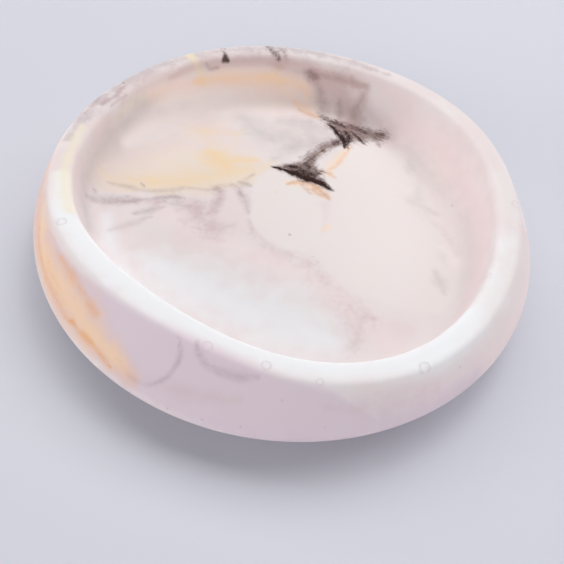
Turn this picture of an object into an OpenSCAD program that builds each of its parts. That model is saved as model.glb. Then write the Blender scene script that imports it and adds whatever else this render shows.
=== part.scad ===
// Ring dish: a round tray cast in one piece of marbled gypsum composite,
// standing on four clear silicone bumpers. All sizes are in millimetres.
// The origin is on the surface that the dish stands on, under the centre of its widest circle.
// Directions are in degrees, counted from +X towards +Y.

/* [Wall] */
// Diameter across the widest circle of the wall
body_d = 110; // [90:1:130]
// Height of the widest circle above the flat base
belly_h = 6; // [4:0.5:9]
// Height over which the wall turns inwards above the widest circle
belly_round = 2.5; // [1:0.1:4]
// How far the edge of the flat base lies inside the widest circle
base_inset = 10; // [6:0.5:14]
// Height above the base of the corner towards which the wall curls under
base_edge_h = 0.8; // [0.4:0.1:2]

/* [Rim] */
// Mean height of the rim above the flat base
rim_h = 17.5; // [15:0.5:26]
// How far the rim's outer edge lies inside the widest circle at the mean height
rim_inset = 5.3; // [2:0.1:8]
// How the lean of the wall grows with height, where 1 would be a straight cone
rim_lean = 2.3; // [1.5:0.1:3]
// Width of the rim across its top
rim_w = 4.4; // [4:0.1:7]
// Length of the rounding on the rim's outer edge
rim_outer_round = 0.8; // [0.5:0.1:2]
// Length of the softer rounding on the rim's inner edge
rim_inner_round = 2; // [0.8:0.1:3.5]

/* [Hand-cast rim line] */
// Rise of the rim at its high side, where the cast was not quite level
rim_tilt = 1; // [0:0.1:2]
// Direction of the high side
rim_tilt_at = -61; // [-180:1:180]
// Height of the slow wave that rises twice round the rim
rim_sway = 0.95; // [0:0.05:1.5]
// Direction of one crest of the slow wave
rim_sway_at = 35; // [-90:1:90]
// Height of the wave that rises three times round the rim
rim_ripple = 1.15; // [0:0.05:1.5]
// Direction of one crest of that wave
rim_ripple_at = 4; // [-60:1:60]

/* [Hollow] */
// Thickness of the floor
floor_t = 4; // [3:0.5:6]
// How far the inner wall leans inwards on its way down
wall_draft = 1; // [0:0.1:2]
// Width of the cove between the rim's inner edge and the flat floor
cove_w = 5.5; // [4:0.5:12]
// Share of the rim line's wander that the edge of the floor follows
floor_follow = 0.5; // [0:0.1:1]

/* [Feet] */
// Diameter of each silicone bumper
foot_d = 8; // [6:0.5:12]
// Height of each bumper
foot_h = 2; // [1.2:0.1:3]
// Radius of the rounding on a bumper's lower edge
foot_round = 0.8; // [0.3:0.1:1]
// How far the bumpers' centres lie inside the edge of the base
foot_inset = 10; // [7:0.5:16]

/* [Hidden] */

// Facets round the dish, a multiple of four so that its four widest points are true
around_n = 80;
// Points along each long curve of the wall's section
long_n = 7;
// Points along each rounded edge of the rim
short_n = 5;
// Facets round a bumper
foot_fn = 64;
// Direction of the first bumper
first_foot_at = 45;
// Angle between one bumper and the next
foot_step = 90;

body_r = body_d / 2;
base_r = body_r - base_inset;
base_z = foot_h;
belly_z = base_z + belly_h;
rim_z = base_z + rim_h;
floor_z = base_z + floor_t;
rim_inner_r = body_r - rim_inset - rim_w;
foot_r = foot_d / 2;
foot_circle_r = base_r - foot_inset;

// Points of a curve from a to c that is drawn towards the corner b, without a itself
function bend(a, b, c, n) =
    [for (i = [1:n]) let (t = i / n) (1 - t) * (1 - t) * a + 2 * t * (1 - t) * b + t * t * c];

// The point a distance d from a towards b, and never past the share most of the way
function towards(a, b, d, most = 0.5) = a + (b - a) * min(most, d / norm(b - a));

// How far the rim stands above its mean height in the direction at
function rim_rise(at) =
    rim_tilt * cos(at - rim_tilt_at)
    + rim_sway * cos(2 * (at - rim_sway_at))
    + rim_ripple * cos(3 * (at - rim_ripple_at));

// The rim's outer corner in the direction at, before it is rounded, as [radius, height].
// The wall is one squat ball above the widest circle, so a higher rim lies further in.
function rim_corner(at) =
    let (z = rim_z + rim_rise(at))
    [body_r - rim_inset * pow((z - belly_z) / (rim_h - belly_h), rim_lean), z];

// The half section of the dish in the direction at: up the outer wall, over the rim,
// down the inner wall and along the cove to the flat floor, as [radius, height] points
function section(at) =
    let (
        base_edge = [base_r, base_z],
        belly = [body_r, belly_z],
        belly_corner = [body_r, belly_z + belly_round],
        outer = rim_corner(at),
        inner = outer - [rim_w, 0],
        wander = inner[0] - rim_inner_r,
        cove = [inner[0] - wall_draft, floor_z],
        floor_edge = [rim_inner_r - cove_w + floor_follow * wander, floor_z],
        cove_top = (inner + cove) / 2,
        outer_start = towards(outer, belly_corner, rim_outer_round),
        outer_end = towards(outer, inner, rim_outer_round),
        inner_start = towards(inner, outer_end, rim_inner_round, 0.95),
        inner_end = towards(inner, cove, rim_inner_round)
    )
    concat(
        [base_edge],
        bend(base_edge, [body_r, base_z + base_edge_h], belly, long_n),
        bend(belly, belly_corner, (belly_corner + outer) / 2, long_n),
        [outer_start],
        bend(outer_start, outer, outer_end, short_n),
        [inner_start],
        bend(inner_start, inner, inner_end, short_n),
        [cove_top],
        bend(cove_top, cove, floor_edge, long_n + 1)
    );

// One closed skin: the half section carried round the dish, with a centre point
// for the base and one for the floor
module dish() {
    sections = [for (i = [0:around_n - 1]) let (at = i * 360 / around_n)
        [for (p = section(at)) [p[0] * cos(at), p[0] * sin(at), p[1]]]];
    rows = len(sections[0]);
    base_centre = around_n * rows;
    floor_centre = base_centre + 1;
    skin = [for (i = [0:around_n - 1]) let (a = i * rows, b = (i + 1) % around_n * rows)
        each [for (k = [0:rows - 2])
            each [[a + k, a + k + 1, b + k + 1], [a + k, b + k + 1, b + k]]]];
    caps = [for (i = [0:around_n - 1]) let (a = i * rows, b = (i + 1) % around_n * rows)
        each [[base_centre, a, b], [floor_centre, b + rows - 1, a + rows - 1]]];
    color("#ebe0e0")
        polyhedron(
            points = concat(
                [for (s = sections) each s],
                [[0, 0, base_z], [0, 0, floor_z]]
            ),
            faces = concat(skin, caps)
        );
}

// A stuck-on bumper: a low disc with a rounded lower edge, its top face against the base
module foot(number) {
    at = first_foot_at + (number - 1) * foot_step;
    color("#d9dde0")
        translate([foot_circle_r * cos(at), foot_circle_r * sin(at), 0])
            rotate_extrude($fn = foot_fn) {
                square([foot_r - foot_round, foot_h]);
                translate([0, foot_round])
                    square([foot_r, foot_h - foot_round]);
                translate([foot_r - foot_round, foot_round])
                    intersection() {
                        circle(foot_round, $fn = foot_fn);
                        translate([0, -foot_round])
                            square(foot_round);
                    }
            }
}

dish();
foot(1);  // foot_1
foot(2);  // foot_2
foot(3);  // foot_3
foot(4);  // foot_4
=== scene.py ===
# %% [markdown]
# # A hand-cast ring dish in marbled gypsum
#
# The real dish is poured by hand. A maker stirs a white gypsum powder with an acrylic binder, drops
# pigments into the cup, folds them in two or three times and pours the lot into a smooth round mould.
# So there is one body with one skin, and everything to look at is in that skin: the slightly wavy
# rim, the bellied wall, the pigments that were stretched by the pour, and a few air bubbles.
#
# This notebook loads the measured construction model as a fixed frame, rebuilds the skin of the dish
# as one fine surface worked out with numpy, draws the marbling on it as distances in millimetres, and
# mixes the pigments in one material.

import bpy
import numpy as np
from mathutils import Matrix, Vector


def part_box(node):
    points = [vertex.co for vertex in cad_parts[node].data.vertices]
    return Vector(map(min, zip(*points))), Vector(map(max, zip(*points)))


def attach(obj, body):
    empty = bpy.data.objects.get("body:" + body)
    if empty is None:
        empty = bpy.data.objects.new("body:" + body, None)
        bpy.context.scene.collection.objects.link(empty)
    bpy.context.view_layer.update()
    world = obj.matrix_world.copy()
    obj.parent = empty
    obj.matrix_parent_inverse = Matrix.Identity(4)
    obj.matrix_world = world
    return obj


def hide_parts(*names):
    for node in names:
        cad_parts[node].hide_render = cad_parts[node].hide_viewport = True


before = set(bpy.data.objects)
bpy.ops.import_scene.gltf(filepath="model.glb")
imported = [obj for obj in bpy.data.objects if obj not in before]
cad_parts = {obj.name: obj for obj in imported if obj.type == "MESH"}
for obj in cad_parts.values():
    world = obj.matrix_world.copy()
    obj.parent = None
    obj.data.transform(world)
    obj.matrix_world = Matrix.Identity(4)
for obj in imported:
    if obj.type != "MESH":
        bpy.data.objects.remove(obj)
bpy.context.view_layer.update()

MM = 0.001
dish_low, dish_high = (np.array(corner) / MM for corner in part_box("dish"))
foot_low, foot_high = (np.array(corner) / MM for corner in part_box("foot_1"))
print("dish", dish_low.round(2), dish_high.round(2), "mm")
print("foot", foot_low.round(2), foot_high.round(2), "mm")

# %% [markdown]
# ## The camera
#
# The picture looks steeply down into the dish, a little tilted to one side. The lens and the
# distance were found by fitting the outlines of the rim and the wall, so the near rim looks as much
# larger than the far rim as it does in the picture. A camera is easiest to read as three numbers,
# its height angle, its roll and its distance, so it is built from these and not from a rotation
# copied out of the viewport.

# %% Camera
IMAGE_PX = 564
FOCAL_PX = 600
SENSOR = 36
CAMERA_HEIGHT_ANGLE = 52.0
CAMERA_ROLL = -8.4
CAMERA_DISTANCE = 137.2
CAMERA_OFFSET_RIGHT = -1.02
CAMERA_OFFSET_UP = 16.34
LOOK_HEIGHT = 8.0


def unit_camera_axes(height_angle, roll):
    """The camera's right, up and forward directions when it looks along +Y and down by height_angle."""
    a, r = np.radians([height_angle, roll])
    forward = np.array([0, np.cos(a), -np.sin(a)])
    right = np.array([1.0, 0, 0])
    up = np.array([0, np.sin(a), np.cos(a)])
    turned_right = np.cos(r) * right - np.sin(r) * up
    turned_up = np.sin(r) * right + np.cos(r) * up
    return right, up, forward, turned_right, turned_up


level_right, level_up, forward, turned_right, turned_up = unit_camera_axes(CAMERA_HEIGHT_ANGLE, CAMERA_ROLL)
eye = np.array([0, 0, LOOK_HEIGHT]) - (
    forward * CAMERA_DISTANCE + level_right * CAMERA_OFFSET_RIGHT + level_up * CAMERA_OFFSET_UP)
camera_data = bpy.data.cameras.new("camera")
camera_data.sensor_width = SENSOR
camera_data.lens = FOCAL_PX / IMAGE_PX * SENSOR
camera_data.clip_start = 0.01
camera = bpy.data.objects.new("camera", camera_data)
bpy.context.scene.collection.objects.link(camera)
turn = Matrix(np.column_stack([turned_right, turned_up, -forward]).tolist()).to_4x4()
camera.matrix_world = Matrix.Translation(Vector(eye * MM)) @ turn
bpy.context.scene.camera = camera
print("lens", round(camera_data.lens, 1), "mm, eye at", eye.round(1), "mm")

# %% [markdown]
# ## The section of the wall
#
# Seen from above the dish is round, but its rim was never level: it rises and falls by two
# millimetres, and because the wall leans inwards, a higher rim also lies further in. The way to get
# this right is to make the height of the rim a function of the direction, and everything else in the
# section a function of that. Two or three slow cosine waves are enough, as on the construction model.
#
# A subdivided cylinder pushed about by hand would be quicker to start, but its loops would never
# meet the real sizes. Here each curve of the section is a quadratic curve between two points, drawn
# towards a third, and it is worked out for all directions at once.

# %% Sizes of the section, in millimetres
BODY_R = (dish_high[0] - dish_low[0]) / 2
BASE_INSET = 10.0
BASE_EDGE_H = 0.8
BELLY_H = 6.0
BELLY_ROUND = 2.5
RIM_H = 17.5
RIM_INSET = 5.3
RIM_LEAN = 2.3
RIM_W = 4.4
RIM_OUTER_ROUND = 0.8
RIM_INNER_ROUND = 2.0
FLOOR_T = 4.0
WALL_DRAFT = 1.0
COVE_W = 5.5
FLOOR_FOLLOW = 0.5
RIM_WAVES = [(1, 1.0, -61), (2, 0.95, 35), (3, 1.15, 4)]

BASE_Z = dish_low[2]
BASE_R = BODY_R - BASE_INSET
BELLY_Z = BASE_Z + BELLY_H
RIM_Z = BASE_Z + RIM_H
FLOOR_Z = BASE_Z + FLOOR_T
RIM_INNER_R = BODY_R - RIM_INSET - RIM_W
print("widest circle", round(2 * BODY_R, 2), "mm, base at", round(BASE_Z, 2), "mm")

# %% Curves between points of the section


def point(radius, height, like):
    """A [radius, height] point for every direction in like."""
    return np.stack(np.broadcast_arrays(radius + 0 * like, height + 0 * like), -1)


def line(start, end, steps):
    """Points evenly spaced from start, left out, to end."""
    t = np.linspace(0, 1, steps + 1)[1:, None, None]
    return start + (end - start) * t


def bend(start, corner, end, steps):
    """Points of the quadratic curve (1-t)^2 start + 2t(1-t) corner + t^2 end, start left out."""
    t = np.linspace(0, 1, steps + 1)[1:, None, None]
    return (1 - t) ** 2 * start + 2 * t * (1 - t) * corner + t ** 2 * end


def towards(start, end, distance, most=0.5):
    """The point that lies a distance from start towards end, and never past the share most."""
    step = end - start
    length = np.linalg.norm(step, axis=-1, keepdims=True)
    return start + step * np.minimum(most, distance / length)


def rim_height(at):
    """Height of the rim in the direction at, in degrees: its mean plus one cosine wave per row."""
    return RIM_Z + sum(rise * np.cos(np.radians(lobes * (at - crest))) for lobes, rise, crest in RIM_WAVES)


# %% The whole half section, for all directions at once


def half_section(at):
    """[row, direction, (radius, height)] from the centre of the base, round the wall, to the floor's centre.

    Each stretch is a line or a quadratic curve between named points. The rim's outer corner lies at
    radius = BODY_R - RIM_INSET * ((z - BELLY_Z) / (RIM_H - BELLY_H)) ^ RIM_LEAN, where z is its height.
    """
    z = rim_height(at)
    base_centre = point(0, BASE_Z, at)
    base_edge = point(BASE_R, BASE_Z, at)
    belly = point(BODY_R, BELLY_Z, at)
    belly_corner = point(BODY_R, BELLY_Z + BELLY_ROUND, at)
    outer = point(BODY_R - RIM_INSET * ((z - BELLY_Z) / (RIM_H - BELLY_H)) ** RIM_LEAN, z, at)
    inner = outer - [RIM_W, 0]
    wander = inner[..., 0] - RIM_INNER_R
    cove = point(inner[..., 0] - WALL_DRAFT, FLOOR_Z, at)
    floor_edge = point(RIM_INNER_R - COVE_W + FLOOR_FOLLOW * wander, FLOOR_Z, at)
    wall_middle = (belly_corner + outer) / 2
    cove_top = (inner + cove) / 2
    outer_start = towards(outer, belly_corner, RIM_OUTER_ROUND)
    outer_end = towards(outer, inner, RIM_OUTER_ROUND)
    inner_start = towards(inner, outer_end, RIM_INNER_ROUND, 0.95)
    inner_end = towards(inner, cove, RIM_INNER_ROUND)
    return np.concatenate([
        base_centre[None],
        line(base_centre, base_edge, 10),
        bend(base_edge, point(BODY_R, BASE_Z + BASE_EDGE_H, at), belly, 22),
        bend(belly, belly_corner, wall_middle, 12),
        line(wall_middle, outer_start, 6),
        bend(outer_start, outer, outer_end, 8),
        line(outer_end, inner_start, 8),
        bend(inner_start, inner, inner_end, 14),
        line(inner_end, cove_top, 8),
        bend(cove_top, cove, floor_edge, 22),
        line(floor_edge, point(0, FLOOR_Z, at), 72),
    ])


AROUND = 512
# %% Directions, closer together where the rim has bubbles
BUBBLES = [
    # u and v on the chart, radius of the ring, height of its lip, depth inside, all in millimetres
    (-51.0, -29.0, 0.85, 0.09, 0.10),
    (32.3, -50.1, 0.95, 0.07, 0.08),
    (49.3, -24.8, 0.55, 0.04, 0.10),
    (-11.8, -58.0, 0.80, 0.05, 0.06),
    (0.6, -58.6, 0.75, 0.06, 0.06),
    (59.2, -2.0, 0.90, 0.05, 0.07),
    (11.4, -58.6, 0.60, 0.03, 0.05),
]
CLOSER = 2.6
CLOSER_WITHIN = 2.0
even = np.linspace(-180, 180, 7201)
bubble_directions = np.degrees([np.arctan2(v, u) for u, v, *_ in BUBBLES])
from_bubble = (even[:, None] - bubble_directions + 180) % 360 - 180
density = 1 + CLOSER * np.exp(-(from_bubble / CLOSER_WITHIN) ** 2).sum(-1)
share = np.concatenate([[0], np.cumsum((density[1:] + density[:-1]) / 2)])
directions = np.interp(np.arange(AROUND) / AROUND, share / share[-1], even)
section = half_section(directions)
print("section rows", section.shape[0], "rim from", section[..., 1].max(0).min().round(2),
      "to", section[..., 1].max().round(2), "mm")

# %% [markdown]
# ## The chart
#
# The pigments lie in the skin, so they need coordinates that follow the skin. The chart below is what
# one would get by pressing the dish flat from its middle outwards: each point keeps its direction,
# and its distance from the middle is the length of the way along the surface. On the floor the chart
# is a true plan in millimetres. On the wall it is stretched round the dish by a fifth or so.

# %% Chart coordinates, in millimetres
steps = np.linalg.norm(np.diff(section, axis=0), axis=-1)
from_floor_centre = np.concatenate([np.cumsum(steps[::-1], axis=0)[::-1], np.zeros((1, AROUND))])
turn_x, turn_y = np.cos(np.radians(directions)), np.sin(np.radians(directions))
chart = np.stack([from_floor_centre * turn_x, from_floor_centre * turn_y], -1)
skin = np.stack([section[..., 0] * turn_x, section[..., 0] * turn_y, section[..., 1]], -1)
print("from the floor's centre to the base edge", from_floor_centre[10].mean().round(1), "mm")

# %% [markdown]
# ## Air bubbles in the rim
#
# Where the slurry was poured last, small air bubbles stuck under the rim's skin and left rings one to
# two millimetres across, with a low lip and a shallow middle. They are real shape and not only a
# mark, so they are pressed into the grid here, along the skin's own direction at their middle. The
# columns of the grid already stand closer together there.

# %% Rings in the skin


def direction_out(points, row, column):
    """The unit vector that stands on the grid at one of its points."""
    along_rows = points[row + 1, column] - points[row - 1, column]
    round_dish = points[row, (column + 1) % AROUND] - points[row, column - 1]
    out = np.cross(round_dish, along_rows)
    return out / np.linalg.norm(out)


ring_ramp = np.full(chart.shape[:-1], -8.0)
for u, v, radius, lip, dip in BUBBLES:
    row, column = np.unravel_index(np.linalg.norm(chart - [u, v], axis=-1).argmin(), ring_ramp.shape)
    from_middle = np.linalg.norm(skin - skin[row, column], axis=-1)
    rise = lip * np.exp(-((from_middle / radius - 1) / 0.3) ** 2) - dip * np.exp(-(from_middle / radius / 0.6) ** 2)
    skin = skin + rise[..., None] * direction_out(skin, row, column)
    ring_ramp = np.maximum(ring_ramp, 0.7 - 4 * np.abs(from_middle / radius - 1))
print("bubbles", len(BUBBLES), "largest ring", 2 * max(b[2] for b in BUBBLES), "mm")

# %% [markdown]
# ## From the grid to a mesh
#
# The first and the last row are one point each, the centres of the base and of the floor, so the
# grid closes into a watertight skin with a fan of triangles at each end and squares between.

# %% Mesh of a closed grid


def closed_skin(name, points):
    """A mesh piece of points [row, direction, xyz] in millimetres, whose end rows are one point each."""
    rows, around = points.shape[:2]
    middle = points[1:-1].reshape(-1, 3)
    vertices = np.concatenate([middle, points[:1, 0], points[-1:, 0]]) * MM
    first_pole, last_pole = len(middle), len(middle) + 1
    index = np.arange(len(middle)).reshape(rows - 2, around)
    after = np.roll(index, -1, axis=1)
    squares = np.stack([index[:-1], after[:-1], after[1:], index[1:]], -1).reshape(-1, 4)
    first_fan = np.stack([np.full(around, first_pole), after[0], index[0]], -1)
    last_fan = np.stack([np.full(around, last_pole), index[-1], after[-1]], -1)
    corners = np.concatenate([squares.ravel(), first_fan.ravel(), last_fan.ravel()])
    sizes = np.concatenate([np.full(len(squares), 4), np.full(2 * around, 3)])
    starts = np.concatenate([[0], np.cumsum(sizes)[:-1]])
    mesh = bpy.data.meshes.new(name)
    mesh.vertices.add(len(vertices))
    mesh.vertices.foreach_set("co", vertices.ravel())
    mesh.loops.add(len(corners))
    mesh.loops.foreach_set("vertex_index", corners)
    mesh.polygons.add(len(sizes))
    mesh.polygons.foreach_set("loop_start", starts)
    mesh.polygons.foreach_set("use_smooth", np.ones(len(sizes), bool))
    mesh.update(calc_edges=True)
    mesh.validate()
    piece = bpy.data.objects.new(name, mesh)
    bpy.context.scene.collection.objects.link(piece)
    return piece


def per_vertex(grid):
    """Values of a [row, direction] grid in the order of closed_skin's vertices."""
    return np.concatenate([grid[1:-1].ravel(), grid[0, :1], grid[-1, :1]])


def store(piece, name, grid):
    """Keeps a grid of numbers on the piece's points, where a material can read it by name."""
    piece.data.attributes.new(name, "FLOAT", "POINT").data.foreach_set("value", per_vertex(grid))


dish = closed_skin("marbled_dish", skin)
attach(dish, "root")
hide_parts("dish")
print("dish skin", len(dish.data.vertices), "points,", len(dish.data.polygons), "faces")

# %% [markdown]
# ## Pigments as marks on the chart
#
# A pigment that was dragged through the pour leaves a streak with a width that swells and fades, and
# often one crisp side, where clean slurry pushed against it, and one side that fades away. One that
# sank in as a drop leaves a pool. Both are drawn here on the chart, in millimetres, with few
# points, the way one would draw them with a brush.
#
# Numpy turns a mark into a ramp: one number for each point of the skin that is 1 or more where the
# pigment covers fully, -1 at its edge and less beyond. A ramp stays straight between the points of
# the mesh, so the material can cut a much finer edge out of it than the mesh could carry as colour,
# and noise that is added to it frays a soft edge widely and a crisp edge only a little.

# %% Ramps of streaks and pools
LOWEST = -8.0
REACH = 24.0


def along(path, steps=5):
    """A path's points joined by a smooth curve: between two points the curve is a cubic through both."""
    p = np.asarray(path, float)
    if len(p) < 3:
        return p
    ends = np.concatenate([[2 * p[0] - p[1]], p, [2 * p[-1] - p[-2]]])
    t = np.linspace(0, 1, steps, endpoint=False)[:, None]
    before, start, end, after = (ends[i:len(p) - 1 + i, None] for i in range(4))
    curve = 0.5 * (2 * start + (end - before) * t + (2 * before - 5 * start + 4 * end - after) * t ** 2
                   + (3 * start - before - 3 * end + after) * t ** 3)
    return np.concatenate([curve.reshape(-1, p.shape[1]), p[-1:]])


def streak(path, peak=1.0, left=1.0, right=1.0):
    """Ramp of a dragged mark: peak - (peak + 1) * distance / width, the largest over the path.

    path has (u, v, width) points. The width counts from the path to the edge on either side, and
    left and right stretch it on that side of someone who walks along the path.
    """
    curve = along(path)
    near = (np.abs(chart - curve[:, :2].mean(0)) < np.ptp(curve[:, :2], 0) / 2 + REACH).all(-1)
    where = chart[near]
    best = np.full(len(where), LOWEST)
    for (*a, width_a), (*b, width_b) in zip(curve[:-1], curve[1:]):
        step, offset = np.subtract(b, a), where - a
        t = np.clip(offset @ step / max(step @ step, 1e-9), 0, 1)
        distance = np.linalg.norm(offset - t[:, None] * step, axis=-1)
        side = np.where(step[0] * offset[:, 1] > step[1] * offset[:, 0], left, right)
        width = np.maximum((width_a + (width_b - width_a) * t) * side, 0.05)
        best = np.maximum(best, peak - (peak + 1) * distance / width)
    ramp = np.full(chart.shape[:-1], LOWEST)
    ramp[near] = best
    return ramp


def pool(outline, soft=1.0, peak=1.0):
    """Ramp of a drop: the distance inside its closed outline, divided by soft, and at most peak."""
    curve = along([*outline, outline[0]])
    near = (np.abs(chart - curve.mean(0)) < np.ptp(curve, 0) / 2 + REACH).all(-1)
    where = chart[near]
    nearest = np.full(len(where), REACH)
    inside = np.zeros(len(where), bool)
    for a, b in zip(curve[:-1], curve[1:]):
        step, offset = b - a, where - a
        t = np.clip(offset @ step / max(step @ step, 1e-9), 0, 1)
        nearest = np.minimum(nearest, np.linalg.norm(offset - t[:, None] * step, axis=-1))
        crosses = (a[1] > where[:, 1]) != (b[1] > where[:, 1])
        slope = offset[:, 1] / (step[1] if abs(step[1]) > 1e-9 else 1e-9)
        inside ^= crosses & (where[:, 0] < a[0] + slope * step[0])
    ramp = np.full(chart.shape[:-1], LOWEST)
    ramp[near] = np.clip(np.where(inside, nearest, -nearest) / soft, LOWEST, peak)
    return ramp


def keep(name, *marks):
    """Stores, for every point of the skin, the highest of the ramps of one row: a pigment, painted light or painted
    shade.
    """
    store(dish, name, np.maximum.reduce(marks))
    print(name, len(marks), "marks")


# %% [markdown]
# ### The clouds
#
# The white powder itself is never one white. On the near side the floor and the rim are a cool white,
# partly the cast's own tone and partly painted light where the light falls strongest. On the right it
# took up a breath of pink, outside at the front a lilac and a mauve that are partly the cast's own tint
# and partly painted shade of a wall that faces away from the light, and on the left a warm peach. On
# the back wall a lighter white is partly the cast's own white and partly painted light that brightens
# the wall the lamps leave darker. These are wide clouds with edges several millimetres soft, so a few
# fat streaks are all they need. The hidden far side gets the same clouds, carried round.

# %% Clouds in the white
# A lighter white on the back wall and along the right cove: partly the cast's own white, partly painted light that
# brightens the wall the lamps leave darker.
keep("clean_white_and_painted_light",
     streak([(-40, 30, 5), (-30, 37, 6), (-18, 42, 7.5), (-8, 44, 8), (0, 43, 7.5), (8, 42, 6)], 1.0),
     streak([(24, 36, 6), (36, 30, 8), (44, 18, 8), (49, 4, 7), (49, -8, 5)], -0.3))
# Cool white on the near floor and along the near rim: partly the cast's own cool tone, partly painted light where the
# light falls strongest on the near side.
keep("cool_white_and_painted_light",
     streak([(-26, -20, 9), (-10, -26, 15), (4, -30, 13), (12, -32, 6)], 0.8),
     streak([(-56, -12, 3), (-50, -28, 5), (-30, -48, 6), (0, -56, 6), (30, -49, 6), (42, -37, 9)], 1.2),
     streak([(38, -42, 7), (48, -30, 8), (55, -14, 9)], 0.1),
     streak([(-40, -8, 3), (-37, -15, 5), (-30, -24, 6), (-20, -34, 6)], 0.4),
     streak([(-22, 62, 5), (-44, 50, 8), (-62, 30, 5)], 0.2))
keep("pink",
     streak([(20, 38, 3), (28, 36, 8), (37, 28, 9), (44, 15, 9), (48, 0, 9), (46, -15, 8), (39, -28, 5)], 0.8),
     streak([(-18, 41, 3), (-8, 42, 5), (0, 40, 4)], 0.4),
     streak([(-30, -2, 6), (-18, -9, 9), (-4, -14, 9), (8, -16, 8), (18, -26, 8), (24, -30, 6)], 0.1),
     streak([(34, -58, 6), (52, -46, 9), (66, -24, 9), (70, 6, 8), (56, 40, 9), (30, 60, 8)], 0.6))
# Lilac on the near outer wall: partly the cast's own tint, partly painted shade of a wall that faces away from the
# light. The high peak of the first streak paints a crisp shade edge just under the near rim.
keep("lilac_and_painted_shade",
     streak([(-57, -31, 3), (-47, -47.4, 6), (-27, -61.4, 8.4), (0, -67.4, 9.4), (14, -66.6, 8), (24, -64.6, 3)],
            6.0),
     streak([(8, -68, 9), (22, -66, 11), (36, -60, 11), (50, -50, 9)], 0.8))
# Mauve low on the near outer wall: partly the cast's own tint, partly painted shade of a wall that faces away from the
# light.
keep("mauve_and_painted_shade",
     streak([(-40, -66, 4), (-26, -73, 7), (0, -78, 9), (26, -73, 8), (44, -62, 5)], 0.4))
keep("grey_rim",
     streak([(24, 52, 1.5), (10, 57, 2.5), (-6, 58, 3), (-20, 54.5, 3.2), (-34, 47, 3.4), (-46, 36, 3.6), (-53, 25, 3.6),
             (-57, 12, 3), (-58, 2, 1.5)], 0.6),
     streak([(-20, 70, 4), (-48, 56, 7), (-68, 28, 6)], 0.2))
keep("cream",
     streak([(-56.5, 8, 2), (-56, -8, 2.4), (-53.5, -17, 3), (-50.5, -25, 2)], 0.6),
     streak([(-48, 18, 4), (-46, 26, 5), (-40, 33, 4)], 0.0),
     streak([(-37.4, 47.2, 2.2), (-35.2, 45, 2.8), (-32.7, 43, 2.8), (-29.3, 40, 2)], 0.5))
keep("peach",
     streak([(-60, 42, 5), (-66, 24, 8), (-67, 8, 9), (-66, -6, 9), (-63, -20, 9), (-59, -32, 9), (-52.5, -43, 9.5),
             (-45, -52, 9.5), (-38, -59.5, 7), (-30, -65, 4)], 1.0))
keep("blush",
     streak([(-43, 30, 4), (-34, 38, 6), (-22, 43.5, 6.5), (-12, 45.5, 6), (-4, 44.5, 6), (1, 43, 5), (3, 41.4, 3)], 0.5))

# %% [markdown]
# ### Drops that spread
#
# Some pigment went in as drops and spread before the plaster set. A long lens of yellow cream lies on
# the left of the floor, crisp along its near side and lost in the white on its far side. A pearl grey
# drop lies beside it. Two white drops broke out over the pink, as milk does in coffee.

# %% Drops
keep("lens",
     streak([(-44, 2.6, 5), (-40, 2.3, 10), (-35, 1.9, 16), (-30, 2.8, 21), (-24, 4.7, 24), (-18, 6.4, 22), (-13, 9, 16),
             (-9, 13, 9), (-6.2, 16.4, 3)], 1.1, right=0.025),
     streak([(-28, 25, 7), (-22, 22, 8), (-16, 21, 6)], 0.0))
keep("yellow",
     streak([(-38, 4.5, 3), (-31, 5, 5), (-25.9, 6.4, 6), (-20.7, 8.5, 6), (-15.4, 11.9, 5), (-10.8, 14.4, 3)], -0.1,
            right=0.6),
     streak([(-22, 17.8, 4.5), (-19, 16.2, 6.5), (-16.4, 14.4, 5)], 0.5),
     streak([(-18, 16, 3), (-14, 16.8, 3.6), (-9.8, 17.8, 2)], 0.35),
     streak([(-25, 26, 5), (-20.5, 27, 7), (-16.4, 26.6, 5)], -0.3),
     streak([(-21.6, 22.4, 5), (-18.4, 21, 5)], -0.5),
     streak([(-13, 47.4, 2.4), (-9.6, 47.8, 3), (-6.4, 47.4, 2)], 0.2),
     streak([(-36.8, 46.6, 2), (-35.2, 45, 2.6), (-32.7, 43, 2.8), (-29.3, 40, 2.2)], -0.3))
keep("grey",
     streak([(-16, 34, 4), (-10, 29, 9), (-2, 28, 10), (5, 28, 8), (8.5, 30, 4)], 0.4),
     streak([(-6, 34, 4), (0, 34.5, 6), (5, 33.5, 6), (8, 31.5, 4)], 0.4),
     streak([(-42, 30, 5), (-46, 18, 7), (-48, 6, 7), (-47, -6, 6), (-42, -14, 4)], 0.2))
keep("pearl",
     streak([(-5, 20, 3), (-1, 24, 5), (3, 27, 4.5), (8, 29, 3)], 0.2),
     streak([(-13, 27, 2), (-9, 28, 3.5), (-6, 25, 2)], -0.3),
     streak([(-2, 36, 2.4), (2.4, 36, 4.5), (6, 34.6, 4)], -0.1),
     streak([(29, 26, 3), (31, 19, 3.5), (31, 11, 4), (36, 3, 4), (40, -4, 2)], -0.25),
     streak([(29, 11, 2), (32, 10, 2.6), (35, 8, 2)], 0.0),
     streak([(34, -10, 2), (35.3, -13, 2.4), (36, -16, 1)], 0.1),
     streak([(36, -5, 2), (37, -8, 2.2)], -0.3))
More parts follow.
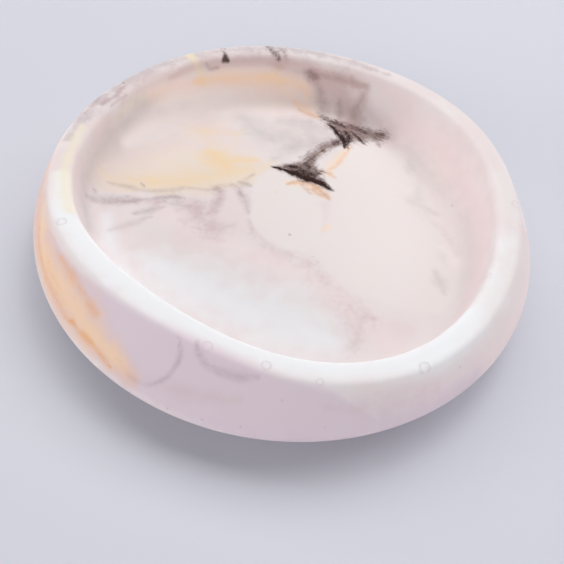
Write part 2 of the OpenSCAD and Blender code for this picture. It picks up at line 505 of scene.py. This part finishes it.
# Near white along the foot of the back and right walls: painted light that takes out the shade the lamps leave in the
# cove.
keep("cove_painted_light",
     streak([(-42, 16, 3), (-38, 24, 4.5), (-30, 32, 5.5), (-20, 38, 6.5), (-8, 41.5, 7), (1, 41.5, 4)], 0.9),
     streak([(27, 33, 4), (32, 28, 6), (37, 18, 6.5), (39, 6, 6.5), (39, -6, 5)], 0.2))
keep("white",
     pool([(8.5, 16), (10.8, 21), (13, 26), (16, 29.5), (20, 30.5), (26, 30), (31, 28), (35.5, 21), (38.5, 13),
           (40.5, 5), (40.5, -5), (38, -18), (33, -22), (27, -22), (22, -20.5), (16, -19), (11, -15), (8, -9),
           (8.6, -2), (9.5, 6)], 1.5, 1.4),
     pool([(-9, 11.5), (-6.6, 14.6), (-3.5, 14.8), (0, 12.8), (5, 8.5), (8, 4), (8.4, -4), (6, -9), (1, -10), (-4, -8),
           (-7.6, -4), (-9.2, 3)], 0.9, 1.4))

# %% [markdown]
# ### Ochre and amber
#
# The warm pigment lies in three places: a soft band under the far rim, thin strands that the black
# dragged along, and strong amber runs down the left outer wall. The soft and the crisp ones are kept
# apart, because each has its own strength of colour.

# %% Ochre and amber
keep("ochre",
     streak([(-32, 39.6, 2), (-26, 43, 3), (-18, 46.2, 4.2), (-12, 48, 4.8), (-7, 48.8, 5), (-2.6, 48.2, 4.2),
             (0, 46.6, 3)], 0.3),
     streak([(-1, 11.2, 1.6), (2.5, 12, 2.8), (6, 10.4, 3.2), (9, 8.6, 2)], 0.2),
     streak([(13, 28.5, 1.4), (11.6, 24.5, 2.4), (9.4, 20.4, 2.4), (8.6, 17, 3)], 0.2),
     streak([(-3, 43, 1.6), (-.6, 41.6, 2.6), (1.6, 39.8, 2.6), (4, 38.6, 1.4)], 0.3),
     streak([(-58.5, -22, 3), (-58, -32, 5), (-55, -39, 6.5), (-50, -46, 7), (-44, -53, 6.5), (-38, -58.5, 5),
             (-32, -63, 3.5)], 0.4),
     streak([(-62, 24, 3), (-63.5, 8, 5), (-62.5, -8, 4)], 0.2),
     streak([(9.6, -.6, .8), (9.2, -2.2, 1.3), (8.2, -2.4, .9)], 0.3))
keep("strand",
     streak([(-1.2, 10.8, .7), (0, 11.6, 1.1), (1.8, 12.4, 1.4), (4, 12, 1.6)], 0.2),
     streak([(1.6, 12, 1), (3.3, 10.7, 1.4), (4.6, 8.8, .9)], 0.2),
     streak([(4, 12.4, 1.4), (5.9, 11.4, 1.8), (7.4, 9.9, 1.8), (8.4, 8.9, 1.5), (9.4, 7.8, .8)], 0.6),
     streak([(4.6, 10.4, 1), (6.2, 9.4, 1.3), (7.4, 8.4, .7)], 0.1),
     streak([(7, 17.2, .9), (8.6, 16.6, 1.4), (10, 15.8, .8)], -0.1),
     streak([(-1.4, 41, .8), (1, 39.6, 1.8), (3.2, 38.8, 1.4), (4.6, 38.4, .5)], 0.1))
keep("amber",
     streak([(13.5, 29, .7), (12.6, 26, 1.1), (11.4, 22.4, 1.1), (9.6, 19.4, 1.1), (8.2, 17.8, 1), (9.4, 16.2, 1.2),
             (10.2, 15.6, .7)], -0.1),
     streak([(-60.2, -24, .6), (-60, -31, 1.6), (-58.4, -36.5, 1.8), (-56, -41.5, 2), (-53.5, -45.4, 2.2),
             (-51, -49.4, 2.2), (-49, -51.6, 1.4)], 0.1),
     streak([(-48.6, -52.2, .9), (-47.2, -52.8, 1.5), (-46, -53.8, .8)], 1.0),
     streak([(-46, -54.6, .8), (-44.2, -55.8, 1.5), (-42, -57.4, 1.5), (-40, -59.2, 1), (-38, -61.2, 1.3),
             (-35.6, -63.4, .6)], 0.6),
     streak([(-52, -36, .8), (-49.4, -39.4, 1.6), (-47, -42.4, 2.2), (-44.6, -45.6, 2), (-42.4, -48.6, 1.8),
             (-40.2, -51.6, 2.2), (-39.2, -53, .8)], 0.2),
     streak([(-41.4, -51, 1), (-39.8, -52.2, 1.5), (-38.6, -53, .5)], 0.5),
     streak([(-56.5, -35, .6), (-54, -40.4, 1.2), (-51.6, -44.4, 1.3), (-48.6, -48.6, .7)], -0.2),
     streak([(-62.5, 20, .8), (-62, 10, 2), (-63, 0, 1.4), (-62.5, -8, .6)], 0.1))

# %% [markdown]
# ### Smoke
#
# Thin grey purple smoke drifted from the black into the white: on the back wall as a hanging curtain
# below a band that follows the rim, on the floor as feathers that run to the left, and as a faint
# vein between the two white drops. The band that follows the rim lies just under the far rim's inner
# edge and is partly this smoke and partly painted shade under the rim.

# %% Smoke
# The first streak darkens a band just under the far rim's inner edge: partly smoke, partly painted shade under the
# rim.
keep("haze_and_painted_shade",
     streak([(-40, 36.5, 1.4), (-37.6, 39.4, 2.2), (-35.4, 42.2, 2.6), (-31.6, 45.2, 3.2), (-28.5, 46.8, 3.4),
             (-22.8, 49.4, 2.8), (-15.4, 52, 2.8), (-9.5, 53.4, 3), (-4.7, 53.6, 3.2), (.9, 53.2, 3.6), (4.6, 51.4, 3.6),
             (10.8, 50.4, 3.2), (17, 49, 2)], 1.0),
     streak([(1, 50.6, 3), (6, 48.6, 7), (11, 45, 8.5), (13, 41, 8), (13, 37, 6)], 0.8),
     streak([(15.6, 43, 3), (19, 40.4, 5), (22.4, 37.4, 5), (24, 34, 3)], -0.1),
     streak([(-50, 22, 3), (-46, 32, 3.4), (-38, 40, 3), (-31, 45, 1.6)], -0.1),
     streak([(-17, -67, 3), (-26, -66.4, 2.5), (-10, -67, 3), (-4, -66, 2)], -0.2),
     streak([(14, -63, 3), (26, -60, 4.5), (38, -53, 3)], -0.4))
keep("feather",
     streak([(-26, 0, 2.4), (-22, -1.5, 4.5), (-19, -4.5, 5), (-16, -7, 4.5), (-12.5, -5.5, 2.5)], 0.1),
     streak([(-17.4, 6, 1.6), (-16.2, 3.4, 2.4), (-16.4, .4, 2.4), (-18, -3, 2.4)], 0.4),
     streak([(-20, -7.4, 1), (-17.4, -7.6, 2), (-15, -6.8, 1)], 0.2),
     streak([(-14, 8, 1.6), (-12.4, 6.8, 2.2), (-12, 5.4, 1.6)], 0.2),
     streak([(-46, -6, 1.5), (-40, -3.6, 2.6), (-34, -2, 2.6), (-28, -1, 2.4)], 0.0),
     streak([(-8.6, -2.8, 1), (-7.4, -4.8, 1.8), (-5.8, -6, 1)], 0.1),
     streak([(-6, -7, 3), (0, -11, 4), (6, -13, 4), (10, -17, 4.6), (15, -22.4, 5), (18, -26, 5), (17, -33, 3.4)],
            -0.3),
     streak([(15.6, -22.6, 1.6), (17.4, -24.6, 2.6), (20.6, -25, 1.6)], -0.1),
     streak([(-50.6, 37, .6), (-48.4, 39.6, 1.4), (-46, 41.4, .6)], 0.3),
     streak([(-50.4, 27.6, .6), (-51.6, 24.4, 1.3), (-51.9, 22.5, 1.1), (-52.9, 20.8, 1.3), (-53.7, 19.4, 1.2),
             (-54.3, 17.7, .6)], 0.7),
     streak([(-49.4, 24.6, .5), (-51, 21.6, 1), (-52.2, 18.6, .6)], 0.3),
     streak([(-57.2, 13, .5), (-56, 17.6, 1.3), (-55.6, 22, .5)], 0.2),
     streak([(-41, 44.6, .5), (-38.4, 46.8, .9), (-37, 48.6, .4)], -0.1))
keep("butter",
     streak([(-38.2, 48.4, 1.8), (-35.4, 45.2, 2.4), (-33, 43, 2.4), (-30.2, 40.8, 1.8)], 0.2))
keep("smoke",
     streak([(-31.4, 45.4, .8), (-29.6, 44.6, 1.4), (-27, 46, .8)], 0.1),
     streak([(-.6, 51.8, 2.4), (1, 51.4, 3.4), (2.6, 51, 2.4)], 0.8),
     streak([(3, 51.6, 2.4), (8, 51.2, 4), (13, 50.4, 4), (17.6, 49.2, 2.4)], 0.1),
     streak([(-13, 52, 1.6), (-8, 51.7, 3), (-3, 51.6, 2.8), (0, 51.2, 2)], -0.25),
     streak([(1.6, 51.6, 2), (3.4, 48, 3), (4.6, 44.6, 3.4), (5.8, 41, 3)], 0.1),
     streak([(18, 49, 1.8), (16.8, 46.8, 2.8), (15, 44.4, 3.4), (14, 41.6, 3.8), (14.2, 38.6, 3.6)], 0.1),
     streak([(9.4, 45, 1.4), (10, 42, 2.4), (9.8, 39.4, 2)], -0.1),
     streak([(-10, 57.6, 1.6), (-8.8, 56, 2.6), (-7.4, 54.2, 1.8)], 0.0),
     streak([(-29, 56, .6), (-28, 53.4, 1.6), (-27, 51, 1.2)], 0.0))

# %% Fine lines
keep("line",
     streak([(-42.5, 2.3, .9), (-38, 2.2, 1.6), (-34, 1.6, 1.4), (-30, 2.3, 1.6), (-27.5, 3.2, 1.9), (-25, 4.3, 1.4),
             (-22, 4.8, 1.1), (-19.4, 4.9, 1.4), (-17.6, 5.8, 2.6), (-16, 6.8, 1.9), (-14, 8, 1.2), (-12, 9.6, 1.1),
             (-9.6, 12.6, .9)], 0.0),
     streak([(-18.4, 5.5, .7), (-17.5, 5.8, 1.6), (-16.8, 6.2, .7)], 0.2),
     streak([(-12.8, 9.1, .9), (-11.2, 8.9, 1.8), (-9.8, 8.4, .9)], 0.4),
     streak([(-44.4, -4.4, 1.2), (-41.4, -2.7, 2.3), (-38.6, -1.7, 1.8), (-36.8, -1, 1.1)], 0.1),
     streak([(-46, -5.4, .9), (-40, -3.2, 1.8), (-36, -2.2, 1.6), (-33, -1.1, 1.4), (-30, -.1, 1.8), (-27.6, .8, 2.1),
             (-24.4, 1.2, .9)], 0.1),
     streak([(-28.6, .4, .9), (-26.8, 1, 1.4), (-25, 1.1, .7)], 0.5),
     streak([(-30, -1.6, .7), (-27, -1, 1.8), (-23.6, -1.5, 1.6)], -0.1),
     streak([(-34.2, -6, .9), (-32, -4.8, 2.1), (-30, -3.6, 1.8), (-27.8, -2.4, .7)], 0.2),
     streak([(-38.4, -12, .9), (-35, -9.8, 1.8), (-33, -8.4, 1.6), (-31.4, -6.8, 1.2), (-30, -6.1, .7)], -0.1),
     streak([(-35.2, 4, .5), (-34.6, 3.3, .9), (-34, 2.7, .5)], 0.5),
     streak([(-45, -1.9, .5), (-44.2, -2.2, 1.1), (-43.6, -2.2, .5)], 0.2),
     streak([(-12, 6, 1.1), (-11, 4.2, 2.3), (-9.8, 1.8, 2.1), (-9, -.6, 1.1)], 0.1),
     streak([(-18.2, -57.4, .8), (-17.7, -59.6, 1.2), (-18.4, -62, 1.1), (-20.6, -64.6, 1), (-23, -65.8, 1),
             (-26.4, -66.6, .7)], 0.2),
     streak([(-14.2, -57.8, 1), (-13.6, -59.4, 1.6), (-12.4, -60.8, 1.5), (-10.4, -61.6, 1.3), (-7.8, -62, 1.5),
             (-5, -62, 1.7), (-2.6, -61.6, 1.5), (-.6, -61, .9)], 0.12),
     streak([(-34, -61, .6), (-31, -64.5, 1.5), (-27, -66.6, 1.2)], -0.4))

# %% [markdown]
# ### Black
#
# The black is the strongest pigment and the last that went in, so it lies in feathered streaks: one
# vein across the floor, one that climbs to the back wall, and a few flecks on the rim. Each vein has
# a crisp dark side, where the white pushed against it, and a brown veil on the other.

# %% Veil and black
keep("veil",
     pool([(4.2, 40), (8, 38.7), (12, 37.7), (16, 37.4), (19.5, 36.8), (22.6, 36.2), (23, 34), (21.4, 32.5), (18.2, 32.2),
           (17, 30.6), (15.4, 31), (13.8, 30.2), (12.6, 28.2), (11.8, 27.6), (11.2, 29.6), (10.2, 31.4), (8.6, 34),
           (7, 36.4), (5.2, 38.4)], 1.5, 1.1),
     streak([(11, 30.6, 2), (9.4, 28.8, 2.8), (7.8, 27.4, 2.6), (6.4, 25.6, 2.8), (5.2, 23.6, 2.6), (4.2, 22.2, 3),
             (3, 20.4, 3)], 1.0, left=0.8),
     pool([(-5.4, 16.1), (-2.6, 17.8), (-.6, 18.9), (1.4, 20), (3, 21.6), (4.8, 21.8), (5.2, 19.8), (5.6, 18),
           (6.8, 17.8), (7.4, 16.8), (6.4, 15.2), (7.6, 13.6), (9.6, 11.2), (7.6, 11.6), (5.6, 12.6), (2.6, 12.8),
           (.4, 13.9), (-2.4, 15.1)], 1.0, 1.3),
     streak([(20.6, 31.8, .6), (21, 30.9, 1.2), (21.1, 30.1, .8)], 0.6))
keep("fleck",
     pool([(-26.9, 52.5), (-26.2, 50.8), (-25.2, 49.6), (-24.4, 48.7), (-25.4, 48), (-26.9, 47.7), (-26.7, 49.8)], 0.45, 1.3),
     streak([(-14.4, 58.6, .9), (-13.6, 57, 1.5), (-12.4, 55.7, 1.6), (-10.6, 54.5, 1.4), (-9.7, 53.7, .8)], 0.4),
     streak([(-11.4, 55.5, .7), (-9.3, 56.6, 1.3), (-7.9, 55.1, .9)], -0.2),
     streak([(0, 51.8, 1.4), (1.2, 51.4, 2.4), (2.4, 51.1, 1.4)], -0.2))
keep("black",
     streak([(-5.8, 16.1, .3), (-4, 16, .9), (-2, 15.6, 1.2), (.5, 14.8, 1.8), (2.5, 13.9, 2.2), (4.5, 13.5, 2),
             (6.4, 12.9, 1.6), (8.2, 11.9, 1.3), (9.9, 10.8, .6)], 1.5, left=1.2, right=0.7),
     streak([(1, 16.4, 1.4), (3, 16, 2), (5, 15.2, 1.6)], 0.9),
     streak([(-2.4, 17.4, .8), (-.4, 17.4, 1.6), (1.6, 17.4, 1.4)], 0.5),
     streak([(2.2, 20.6, .8), (2.8, 19.2, 1.5), (3.8, 17.6, 1.4)], 0.6),
     streak([(4.8, 21, .5), (4, 21.2, .9), (3, 20.6, .6)], 0.0),
     streak([(5.2, 17.4, .6), (6.2, 16.6, 1.2), (6.6, 17.4, .5)], 0.4),
     streak([(6.6, 14.9, .3), (7.4, 14.4, .6), (7.9, 14.1, .3)], 0.2),
     streak([(4.6, 39.4, .5), (6.4, 38.4, 1.1), (8.6, 37.6, 1.3), (10.6, 36.8, 1.1), (12, 36, .7)], 0.2),
     streak([(7.2, 36.2, .5), (8.4, 34.9, 1), (9.6, 33.2, 1.4), (10.8, 31.6, 1.8), (11.7, 30.2, 2), (12, 28.8, 1.5),
             (11.8, 27.4, .6)], 1.4, left=1.2, right=0.7),
     streak([(12.4, 37, .7), (14.2, 36.6, 1.3), (15.8, 35.8, 1.5), (17.4, 34.8, 1)], 0.3),
     streak([(11.8, 34.4, .8), (12.6, 32.6, 1.6), (12.8, 30.8, 1.8)], 0.9),
     streak([(13.4, 34.4, .7), (14.8, 33.4, 1.3), (16, 32, 1.1), (16.8, 30.4, .8)], 0.4),
     streak([(18.6, 36.2, .5), (20, 35.4, .9), (21.8, 35.2, 1)], -0.2),
     streak([(19.6, 34.2, .5), (20, 33, .9), (19.6, 32.2, .4)], -0.1),
     streak([(21, 31, .5), (21.1, 30.3, .7)], -0.1),
     streak([(10.6, 29.9, .8), (9.6, 28.9, 1.4), (8.8, 28.2, .6)], 0.4),
     streak([(7, 26.2, .5), (6.5, 25.3, 1.1), (6.1, 24.5, .5)], -0.1),
     streak([(4.6, 22.6, .3), (4.2, 21.9, .9), (3.6, 21.4, .5)], 0.0))

# %% [markdown]
# ### Specks
#
# Undissolved grains of pigment show as specks a few tenths of a millimetre across, on the floor and
# on the wall. They are the smallest thing that the mesh can still carry.

# %% Specks
SPECKS = [
    # u and v on the chart, radius and strength
    (1.2, -5.5, 0.55, 0.6), (8.2, -12.3, 0.45, 0.2), (7.0, -10.8, 0.35, 0.0), (-3.4, 7.6, 0.5, -0.4),
    (39.2, 11.0, 0.5, 0.2), (-51.2, 28.4, 0.6, 0.8), (-21, -71, 0.6, 0.2), (-12, -72, 0.6, 0.1), (-3, -71.5, 0.5, 0.1),
    (5, -64, 0.7, 0.0), (15, -67, 0.5, 0.1), (42, -47.5, 0.7, 0.0), (-7, -64.6, 0.6, -0.1), (26, -57, 0.5, -0.2),
    (30, 63, 0.6, 0.2), (52, 44, 0.5, 0.1), (-40, 62, 0.6, 0.2), (66, 12, 0.5, 0.1),
]
keep("speck", *(streak([(u - 0.05, v, radius), (u + 0.05, v, radius)], strength) for u, v, radius, strength in SPECKS))
store(dish, "ring", ring_ramp)

# %% [markdown]
# ### Direction of the comb
#
# Where the black was dragged, its veil is combed into fine threads. A comb needs a direction, so the
# skin also keeps how far along the nearest vein each point lies and how far beside it, and the
# material stretches its noise along that.

# %% Distance along and beside the veins
VEINS = [
    [(-5, 16), (0, 15.5), (5, 14), (9.7, 11)],
    [(4.5, 39.3), (8, 37), (11, 33), (12, 28)],
    [(9, 37.5), (13, 34), (17, 30)],
    [(12, 37.5), (17, 35), (23, 33)],
    [(11, 29.5), (8, 27.5), (6, 25), (4, 21), (2.5, 19)],
    [(3, 52), (5, 46), (6, 40)],
    [(18, 50), (15, 44), (14, 38)],
]
nearest = np.full(chart.shape[:-1], np.inf)
along_vein, beside_vein = np.zeros_like(nearest), np.zeros_like(nearest)
travelled = 0.0
for vein in VEINS:
    curve = along(vein)
    for a, b in zip(curve[:-1], curve[1:]):
        step, length, offset = b - a, np.linalg.norm(b - a), chart - a
        t = np.clip(offset @ step / length ** 2, 0, 1)
        distance = np.linalg.norm(offset - t[..., None] * step, axis=-1)
        closer = distance < nearest
        beside = (step[0] * offset[..., 1] - step[1] * offset[..., 0]) / length
        along_vein = np.where(closer, travelled + t * length, along_vein)
        beside_vein = np.where(closer, beside, beside_vein)
        nearest = np.minimum(nearest, distance)
        travelled += length
store(dish, "along_vein", along_vein)
store(dish, "beside_vein", beside_vein)
print("veins", len(VEINS), "length", round(travelled, 1), "mm")

# %% [markdown]
# ## Material helpers
#
# Colours are picked as they look on a screen and turned into the linear values that Blender mixes.
# One small function adds a node and its links, so that the recipe of the material reads as a recipe.

# %% Colour and node helpers


def linear(screen_colour):
    """The linear colour of an sRGB hex value: c/12.92 when dark, ((c+0.055)/1.055)^2.4 otherwise."""
    c = np.array([int(screen_colour[i:i + 2], 16) for i in (1, 3, 5)]) / 255
    return (*np.where(c <= 0.04045, c / 12.92, ((c + 0.055) / 1.055) ** 2.4).tolist(), 1.0)


def add(tree, kind, inputs=None, **settings):
    """Adds one node. settings are its properties; inputs maps a socket's name or number to a value or a link."""
    made = tree.nodes.new(kind)
    for name, value in settings.items():
        setattr(made, name, value)
    for name, value in (inputs or {}).items():
        if isinstance(value, bpy.types.NodeSocket):
            tree.links.new(value, made.inputs[name])
        else:
            made.inputs[name].default_value = value
    return made


MIX_FACTOR, MIX_BELOW, MIX_ABOVE, MIX_RESULT = 0, 6, 7, 2

# %% [markdown]
# ## Cast gypsum, marbled
#
# Gypsum composite is dense, fine and matt, like unglazed porcelain. It has no grain of its own, but a
# cast shows three things: a slow drift between warmer and cooler white, because the pigment was never
# mixed in quite evenly, the pigments themselves, and a fine tooth from the mould and the sanding.
#
# Each row below is a pigment or a mark of painted light or shade: the name of its ramp on the skin, its
# colour, how strongly it covers, and how far coarse, fine and grainy noise push its edge. The lighter
# back wall and cove and the whiter near floor and rim are partly painted light; the darker near outer
# wall and the darker band under the far rim are partly painted shade. The rows lie on each other in the
# order of the pour, the black last.

# %% Textures of the gypsum
gypsum = bpy.data.materials.new("gypsum_composite_cast_marbled")
gypsum.use_nodes = True
tree = gypsum.node_tree
tree.nodes.clear()
place = add(tree, "ShaderNodeTexCoord").outputs["Object"]
in_mm = add(tree, "ShaderNodeVectorMath", {0: place, "Scale": 1 / MM}, operation="SCALE").outputs[0]


def cloud(size, detail=2.0, roughness=0.5, where=in_mm):
    """Noise whose features are about size millimetres across, from 0 to 1."""
    return add(tree, "ShaderNodeTexNoise", {"Vector": where, "Scale": 1 / size, "Detail": detail,
                                            "Roughness": roughness}).outputs[0]


def times_plus(a, b, c):
    """a * b + c."""
    return add(tree, "ShaderNodeMath", {0: a, 1: b, 2: c}, operation="MULTIPLY_ADD").outputs[0]


def smooth(value, low, high, to_low=0.0, to_high=1.0):
    """An S-shaped ramp from to_low to to_high while value goes from low to high."""
    return add(tree, "ShaderNodeMapRange", {"Value": value, "From Min": low, "From Max": high, "To Min": to_low,
                                            "To Max": to_high}, interpolation_type="SMOOTHSTEP").outputs[0]


def attribute(name):
    """A number that the skin keeps."""
    return add(tree, "ShaderNodeAttribute", attribute_name=name).outputs["Fac"]


def mixed(factor, below, above):
    """The colour below, covered by the colour above as far as factor says."""
    return add(tree, "ShaderNodeMix", {MIX_FACTOR: factor, MIX_BELOW: below, MIX_ABOVE: above},
               data_type="RGBA").outputs[MIX_RESULT]


COMB_LENGTH = 4.0
COMB_SPACING = 0.7
drift, coarse, fine, grain = cloud(14), cloud(3.5, 3.0), cloud(1.1, 3.0), cloud(0.35, 3.0, 0.6)
comb = cloud(1.0, 2.0, 0.5, add(tree, "ShaderNodeCombineXYZ", {
    0: times_plus(attribute("along_vein"), 1 / COMB_LENGTH, times_plus(coarse, 0.8, 0.0)),
    1: times_plus(attribute("beside_vein"), 1 / COMB_SPACING, times_plus(coarse, 1.6, 0.0)),
}).outputs[0])

# %% Pigments, painted light and painted shade laid over each other
WHITE_WARM, WHITE_COOL = "#ecdfdf", "#ede4e4"
PIGMENTS_AND_PAINTED_LIGHT = [
    # ramp, colour, cover, and how far each noise pushes the ramp
    # lighter back wall and right cove: partly the cast's white, partly painted light
    ("clean_white_and_painted_light", "#fcf3f1", 0.9, {"coarse": 0.5}),
    ("pink", "#f8e5e7", 0.75, {"coarse": 0.6}),
    # whiter near floor and near rim: partly the cast's cool tone, partly painted light
    ("cool_white_and_painted_light", "#f4f5f8", 0.95, {"coarse": 0.6}),
    # near outer wall: partly lilac tint, partly painted shade, crisp under the near rim
    ("lilac_and_painted_shade", "#e2d1da", 0.95, {"coarse": 0.5}),
    # low near outer wall: partly mauve tint, partly painted shade
    ("mauve_and_painted_shade", "#d1c0c8", 0.8, {"coarse": 0.6}),
    ("grey_rim", "#cdc0c3", 0.8, {"coarse": 1.6, "fine": 0.9}),
    ("cream", "#f5ead2", 0.8, {"coarse": 0.8}),
    ("grey", "#d6cfce", 0.9, {"coarse": 0.8}),
    ("peach", "#edcabb", 0.9, {"coarse": 0.5}),
    ("lens", "#f1e0ce", 0.9, {"coarse": 0.5, "fine": 0.1}),
    ("yellow", "#f6d6a0", 0.75, {"coarse": 0.6, "fine": 0.2}),
    # smoke, with painted shade in the band under the far rim
    ("haze_and_painted_shade", "#d3bab9", 0.75, {"coarse": 0.5, "fine": 0.15}),
    ("feather", "#c3a8ab", 0.7, {"coarse": 0.9, "fine": 0.6}),
    ("white", "#efe7e5", 0.9, {"coarse": 0.8, "fine": 0.3}),
    # painted light that lifts the shade in the back and right cove
    ("cove_painted_light", "#fff4f1", 0.75, {"coarse": 0.5}),
    ("blush", "#ffe7dc", 0.8, {"coarse": 0.5}),
    ("pearl", "#c8c0bf", 0.6, {"coarse": 0.9, "fine": 0.3}),
    ("butter", "#f6e5c2", 0.65, {"coarse": 0.6, "fine": 0.2}),
    ("ochre", "#ffdcb6", 0.8, {"coarse": 0.5, "fine": 0.2}),
    ("smoke", "#9c7c78", 0.65, {"coarse": 0.5, "fine": 0.25}),
    ("amber", "#ecab70", 0.75, {"coarse": 0.5, "fine": 0.5, "grain": 0.2}),
    ("strand", "#cf9a78", 0.7, {"coarse": 0.4, "fine": 0.8, "grain": 0.5}),
    ("line", "#96838a", 0.55, {"coarse": 0.4, "fine": 0.35, "grain": 0.2}),
    ("veil", "#7c605b", 0.8, {"fine": 0.9, "grain": 0.6, "comb": 0.9}),
    ("fleck", "#38241f", 0.9, {"fine": 0.8, "grain": 0.5}),
    ("black", "#29130f", 0.97, {"fine": 1.0, "grain": 0.8, "comb": 1.0}),
    ("ring", "#d3c8cd", 0.5, {"fine": 0.8}),
    ("speck", "#7b6367", 0.7, {"grain": 0.6}),
]
noises = {"coarse": coarse, "fine": fine, "grain": grain, "comb": comb}
colour = mixed(smooth(drift, 0.42, 0.58), linear(WHITE_WARM), linear(WHITE_COOL))
for name, screen_colour, cover, pushes in PIGMENTS_AND_PAINTED_LIGHT:
    ramp = attribute(name)
    for noise, push in pushes.items():
        ramp = times_plus(noises[noise], 2 * push, times_plus(ramp, 1.0, -push))
    colour = mixed(smooth(ramp, -1.0, 1.0, 0.0, cover), colour, linear(screen_colour))

# %% Skin of the gypsum
tooth = cloud(0.35, 3.0, 0.6)
bump = add(tree, "ShaderNodeBump", {"Strength": 0.1, "Distance": 0.1 * MM, "Height": tooth}).outputs[0]
surface = add(tree, "ShaderNodeBsdfPrincipled", {"Base Color": colour, "Roughness": 0.8, "IOR": 1.52, "Specular IOR Level": 0.08,
                                                  "Normal": bump})
add(tree, "ShaderNodeOutputMaterial", {"Surface": surface.outputs[0]})
dish.data.materials.append(gypsum)
print("gypsum material nodes", len(tree.nodes))

# %% [markdown]
# ## Clear silicone bumpers
#
# The bumpers are moulded clear silicone, soft and a little cloudy, stuck to the sanded base. The
# construction model's own discs are the right shape, so only their material is made here.

# %% Clear silicone
silicone = bpy.data.materials.new("silicone_clear_moulded")
silicone.use_nodes = True
tree = silicone.node_tree
tree.nodes.clear()
place = add(tree, "ShaderNodeTexCoord").outputs["Object"]
dust = add(tree, "ShaderNodeTexNoise", {"Vector": place, "Scale": 1 / (0.6 * MM), "Detail": 3.0}).outputs[0]
tint = mixed(dust, linear("#dfe4e6"), linear("#eef1f2"))
surface = add(tree, "ShaderNodeBsdfPrincipled", {"Base Color": tint, "Roughness": 0.25, "IOR": 1.41,
                                                  "Transmission Weight": 0.6})
add(tree, "ShaderNodeOutputMaterial", {"Surface": surface.outputs[0]})
for number in range(1, 5):
    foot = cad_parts[f"foot_{number}"]
    foot.data.materials.clear()
    foot.data.materials.append(silicone)

# %% [markdown]
# ## Floor and light
#
# The floor is plain pale grey paper. The light is that of a room with one long window: a wide soft
# box behind the dish, a little to the right, a sky that is brighter near the horizon than overhead,
# and two weak low fills that keep the near wall from going dull. Together they light a level surface
# at about 1, so that each colour renders about as it is written.

# %% Floor
FLOOR_SIZE = 3.2
PAPER = "#d3d4de"
half = FLOOR_SIZE / 2
floor_mesh = bpy.data.meshes.new("floor")
floor_mesh.from_pydata([(-half, -half, 0), (half, -half, 0), (half, half, 0), (-half, half, 0)], [], [(0, 1, 2, 3)])
floor = bpy.data.objects.new("floor", floor_mesh)
bpy.context.scene.collection.objects.link(floor)
paper = bpy.data.materials.new("plain_pale_paper")
paper.use_nodes = True
tree = paper.node_tree
tree.nodes["Principled BSDF"].inputs["Base Color"].default_value = linear(PAPER)
tree.nodes["Principled BSDF"].inputs["Roughness"].default_value = 0.7
floor_mesh.materials.append(paper)

# %% Lamps


def soft_box(name, direction, height_angle, width, height, power, distance=1.0):
    """A rectangular lamp that faces the dish from a direction and a height angle in degrees."""
    a, h = np.radians([direction, height_angle])
    at = Vector(distance * np.array([np.cos(h) * np.cos(a), np.cos(h) * np.sin(a), np.sin(h)]))
    data = bpy.data.lights.new(name, "AREA")
    data.shape = "RECTANGLE"
    data.size, data.size_y, data.energy = width, height, power
    lamp = bpy.data.objects.new(name, data)
    bpy.context.scene.collection.objects.link(lamp)
    lamp.matrix_world = Matrix.Translation(at) @ at.to_track_quat("Z", "Y").to_matrix().to_4x4()


soft_box("window", 80, 62, 2.2, 0.5, 9.8)
soft_box("window_core", 70, 55, 0.35, 0.35, 1.7)
soft_box("fill_left", 200, 15, 0.7, 0.3, 2.2)
soft_box("fill_right", -20, 25, 0.7, 0.7, 0.75)
soft_box("fill_front", -98, 28, 0.7, 0.35, 2.35)

SKY_HORIZON = 1.75
SKY_OVERHEAD = 0.1
world = bpy.data.worlds.new("room_light")
bpy.context.scene.world = world
world.use_nodes = True
tree = world.node_tree
upward = add(tree, "ShaderNodeSeparateXYZ", {0: add(tree, "ShaderNodeTexCoord").outputs["Generated"]}).outputs["Z"]
level = add(tree, "ShaderNodeMapRange", {"Value": upward, "From Min": 0.0, "From Max": 0.3, "To Min": SKY_HORIZON,
                                         "To Max": SKY_OVERHEAD}).outputs[0]
path = add(tree, "ShaderNodeLightPath").outputs
seen = times_plus(path["Is Camera Ray"], 1.0, times_plus(path["Is Glossy Ray"], 1.0, path["Is Transmission Ray"]))
strength = add(tree, "ShaderNodeMapRange", {"Value": seen, "To Min": level, "To Max": 1.0}).outputs[0]
tree.links.new(strength, tree.nodes["Background"].inputs["Strength"])
tree.links.new(mixed(seen, (1, 1, 1, 1), linear(PAPER)), tree.nodes["Background"].inputs["Color"])

# %% Finish
bpy.context.scene.view_settings.view_transform = "Standard"
